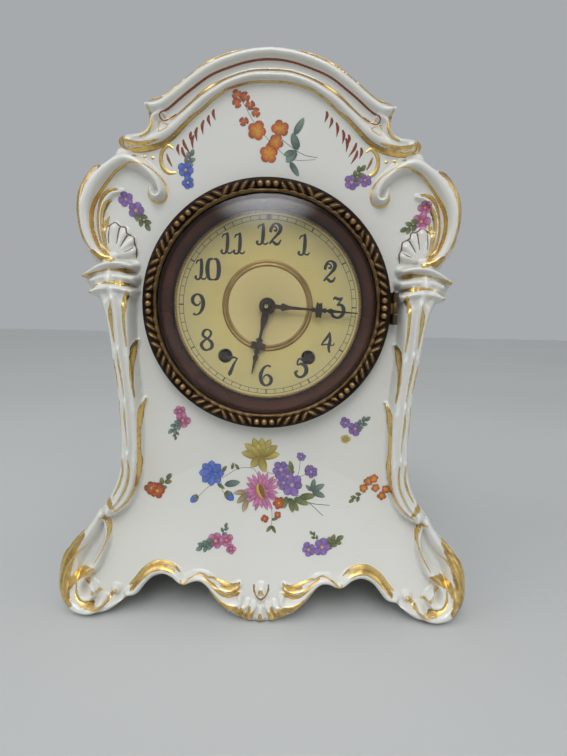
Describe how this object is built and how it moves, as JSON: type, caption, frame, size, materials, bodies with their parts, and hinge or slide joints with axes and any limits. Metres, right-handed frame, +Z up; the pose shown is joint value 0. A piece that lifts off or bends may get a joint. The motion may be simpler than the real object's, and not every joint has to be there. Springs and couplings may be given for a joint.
{
  "type": "porcelain mantel clock",
  "caption": "Waisted porcelain mantel clock on scrolled feet, with a hinged glazed bezel, cream dial, round back door, and a wound time and strike movement with pendulum and gong.",
  "frame": {"origin": "on the table top, midway between the feet", "axes": "+Z up, the dial faces -Y, +X to the right of the dial as seen from the front"},
  "size_m": [0.2296, 0.1305, 0.301],
  "materials": {
    "porcelain": "white glazed porcelain with worn gilding and painted flowers",
    "pan_copper": "dark copper-brown lacquered brass",
    "dial_enamel": "cream dial with dark blue-black numerals",
    "bezel_brass": "antique cast brass, dark in the hollows",
    "glass": "clear domed glass",
    "blued_steel": "blackened steel",
    "bright_brass": "satin brass",
    "movement_brass": "grained brass",
    "steel": "polished steel",
    "spring_steel": "blued spring steel"
  },
  "bodies": {
    "case": {"porcelain_case": "porcelain", "dial_pan": "pan_copper", "dial": "dial_enamel", "dial_center_ring": "bright_brass", "bezel_hinge_pin": "steel", "back_ring": "bright_brass", "back_door_pin": "steel", "case_straps": "bright_brass", "case_screws": "steel", "front_plate": "movement_brass", "back_plate": "movement_brass", "plate_pillars": "movement_brass", "pillar_nuts": "steel", "movement_posts": "movement_brass", "click_springs": "steel", "back_cock": "bright_brass", "gong": "spring_steel"},
    "bezel": {"bezel": "bezel_brass", "bezel_glass": "glass"},
    "back_door": {"back_door": "bright_brass", "back_door_knob": "bright_brass"},
    "minute_hand": {"minute_hand": "blued_steel", "hand_nut": "blued_steel", "cannon_pinion": "movement_brass"},
    "hour_hand": {"hour_hand": "blued_steel", "hour_wheel": "movement_brass"},
    "minute_wheel": {"minute_wheel": "movement_brass"},
    "third_arbor": {"third_arbor": "steel", "third_wheel": "movement_brass"},
    "escape_arbor": {"escape_arbor": "steel", "escape_wheel": "movement_brass"},
    "center_arbor": {"center_arbor": "steel", "center_wheel": "movement_brass"},
    "intermediate_arbor": {"intermediate_arbor": "steel", "intermediate_wheel": "movement_brass"},
    "time_barrel": {"time_barrel": "movement_brass", "time_mainspring": "spring_steel"},
    "time_winding_arbor": {"time_winding_arbor": "steel", "time_ratchet": "steel"},
    "time_click": {"time_click": "steel"},
    "pendulum": {"pendulum_rod": "steel", "pendulum_bob": "bright_brass", "suspension_spring": "steel"},
    "pallets": {"pallets": "steel", "crutch": "steel"},
    "rating_nut": {"rating_nut": "bright_brass"},
    "regulator_arbor": {"regulator_arbor": "steel"},
    "warning_arbor": {"warning_arbor": "steel", "warning_wheel": "movement_brass"},
    "fly": {"fly": "steel"},
    "pin_wheel": {"pin_wheel": "movement_brass", "pin_arbor": "steel"},
    "strike_barrel": {"strike_barrel": "movement_brass", "strike_mainspring": "spring_steel"},
    "strike_winding_arbor": {"strike_winding_arbor": "steel", "strike_ratchet": "steel"},
    "strike_click": {"strike_click": "steel"},
    "count_wheel": {"count_wheel": "movement_brass"},
    "hammer": {"hammer": "steel"}
  },
  "joints": [
    {"name": "bezel_hinge", "type": "hinge", "parent": "case", "child": "bezel", "pos_m": [0.0677, -0.05215, 0.171], "axis": [0, 0, 1], "range_deg": [0, 105]},
    {"name": "back_door_hinge", "type": "hinge", "parent": "case", "child": "back_door", "pos_m": [0.0544, 0.0576, 0.171], "axis": [0, 0, -1], "range_deg": [0, 110]},
    {"name": "minute_hand_turn", "type": "hinge", "parent": "case", "child": "minute_hand", "pos_m": [0, 0, 0.171], "axis": [0, 1, 0], "continuous": true},
    {"name": "hour_hand_turn", "type": "hinge", "parent": "case", "child": "hour_hand", "pos_m": [0, 0, 0.171], "axis": [0, 1, 0], "continuous": true},
    {"name": "minute_wheel_turn", "type": "hinge", "parent": "case", "child": "minute_wheel", "pos_m": [0.0099, 0, 0.1809], "axis": [0, 1, 0], "continuous": true},
    {"name": "third_arbor_turn", "type": "hinge", "parent": "case", "child": "third_arbor", "pos_m": [0.00955, 0, 0.18754], "axis": [0, 1, 0], "continuous": true},
    {"name": "escape_arbor_turn", "type": "hinge", "parent": "case", "child": "escape_arbor", "pos_m": [0, 0, 0.20094], "axis": [0, 1, 0], "continuous": true},
    {"name": "center_arbor_turn", "type": "hinge", "parent": "case", "child": "center_arbor", "pos_m": [0, 0, 0.171], "axis": [0, 1, 0], "continuous": true},
    {"name": "intermediate_arbor_turn", "type": "hinge", "parent": "case", "child": "intermediate_arbor", "pos_m": [0.02152, 0, 0.16643], "axis": [0, 1, 0], "continuous": true},
    {"name": "time_barrel_turn", "type": "hinge", "parent": "case", "child": "time_barrel", "pos_m": [0.0233, 0, 0.1427], "axis": [0, 1, 0], "continuous": true},
    {"name": "time_winding_turn", "type": "hinge", "parent": "case", "child": "time_winding_arbor", "pos_m": [0.0233, 0, 0.1427], "axis": [0, 1, 0], "continuous": true},
    {"name": "time_click_lift", "type": "hinge", "parent": "case", "child": "time_click", "pos_m": [0.03514, 0, 0.13839], "axis": [0, 1, 0], "range_deg": [0, 12]},
    {"name": "pendulum_swing", "type": "hinge", "parent": "case", "child": "pendulum", "pos_m": [0, 0.019, 0.21483], "axis": [0, 1, 0], "range_deg": [-4, 4]},
    {"name": "pallets_rock", "type": "hinge", "parent": "case", "child": "pallets", "pos_m": [0, 0, 0.21483], "axis": [0, 1, 0], "range_deg": [-4.2, 4.2]},
    {"name": "rating_nut_turn", "type": "hinge", "parent": "pendulum", "child": "rating_nut", "pos_m": [0, 0.019, 0.09023], "axis": [0, 0, 1], "continuous": true},
    {"name": "regulator_turn", "type": "hinge", "parent": "case", "child": "regulator_arbor", "pos_m": [0, 0, 0.2192], "axis": [0, 1, 0], "range_deg": [-180, 180]},
    {"name": "warning_arbor_turn", "type": "hinge", "parent": "case", "child": "warning_arbor", "pos_m": [-0.01596, 0, 0.18355], "axis": [0, 1, 0], "continuous": true},
    {"name": "fly_turn", "type": "hinge", "parent": "case", "child": "fly", "pos_m": [-0.01196, 0, 0.19549], "axis": [0, 1, 0], "continuous": true},
    {"name": "pin_wheel_turn", "type": "hinge", "parent": "case", "child": "pin_wheel", "pos_m": [-0.02152, 0, 0.16643], "axis": [0, 1, 0], "continuous": true},
    {"name": "strike_barrel_turn", "type": "hinge", "parent": "case", "child": "strike_barrel", "pos_m": [-0.0233, 0, 0.1427], "axis": [0, 1, 0], "continuous": true},
    {"name": "strike_winding_turn", "type": "hinge", "parent": "case", "child": "strike_winding_arbor", "pos_m": [-0.0233, 0, 0.1427], "axis": [0, 1, 0], "continuous": true},
    {"name": "strike_click_lift", "type": "hinge", "parent": "case", "child": "strike_click", "pos_m": [-0.03514, 0, 0.13839], "axis": [0, -1, 0], "range_deg": [0, 12]},
    {"name": "count_wheel_turn", "type": "hinge", "parent": "case", "child": "count_wheel", "pos_m": [-0.02738, 0, 0.18254], "axis": [0, 1, 0], "continuous": true},
    {"name": "hammer_lift", "type": "hinge", "parent": "case", "child": "hammer", "pos_m": [-0.04141, 0, 0.16993], "axis": [0, 1, 0], "range_deg": [0, 12]}
  ],
  "couplings": [
    {"joint": "hour_hand_turn", "follows": "minute_hand_turn", "ratio": 0.083333},
    {"joint": "minute_wheel_turn", "follows": "minute_hand_turn", "ratio": -0.33333},
    {"joint": "center_arbor_turn", "follows": "third_arbor_turn", "ratio": -0.083333},
    {"joint": "intermediate_arbor_turn", "follows": "third_arbor_turn", "ratio": 0.011905},
    {"joint": "time_barrel_turn", "follows": "third_arbor_turn", "ratio": -0.002381},
    {"joint": "escape_arbor_turn", "follows": "third_arbor_turn", "ratio": -12},
    {"joint": "pallets_rock", "follows": "pendulum_swing", "ratio": 1},
    {"joint": "pin_wheel_turn", "follows": "warning_arbor_turn", "ratio": -0.125},
    {"joint": "strike_barrel_turn", "follows": "warning_arbor_turn", "ratio": 0.025},
    {"joint": "fly_turn", "follows": "warning_arbor_turn", "ratio": -8},
    {"joint": "count_wheel_turn", "follows": "warning_arbor_turn", "ratio": 0.011111}
  ]
}
